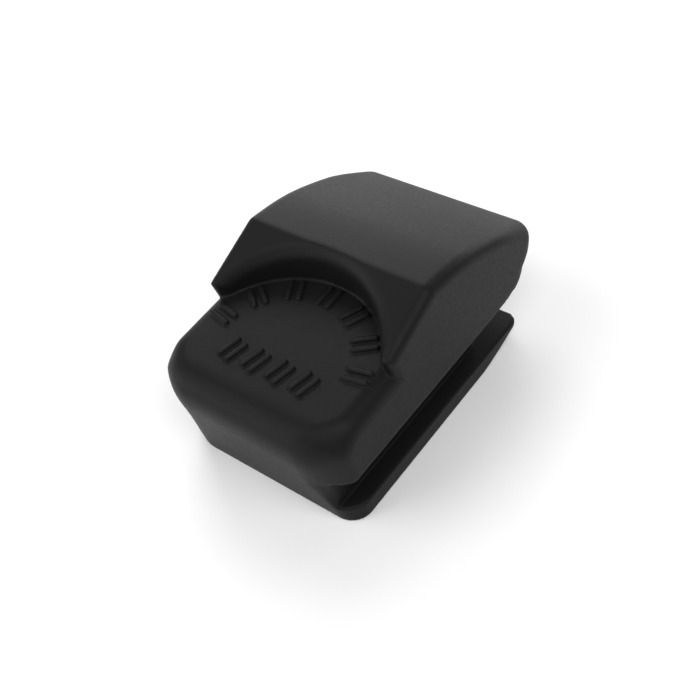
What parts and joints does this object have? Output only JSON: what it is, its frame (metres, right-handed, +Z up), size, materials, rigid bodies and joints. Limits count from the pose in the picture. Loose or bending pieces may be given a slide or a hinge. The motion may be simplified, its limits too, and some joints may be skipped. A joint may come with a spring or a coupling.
{
  "type": "instrument string mute",
  "caption": "Solid rubber slide-on mute for a bowed instrument: a heavy rounded block over a thin flange, with a string slot down each side.",
  "frame": {"origin": "bottom centre of the moulding's bounding box, on the flange's underside", "axes": "+X across the strings, +Y from the nose that meets the bridge back to the rounded tail, +Z up away from the strings"},
  "size_m": [0.0142, 0.0226, 0.0117],
  "materials": {
    "rubber": "satin moulded black rubber"
  },
  "bodies": {
    "root": {"base_flange": "rubber", "centre_web": "rubber", "body_block": "rubber"}
  },
  "joints": []
}
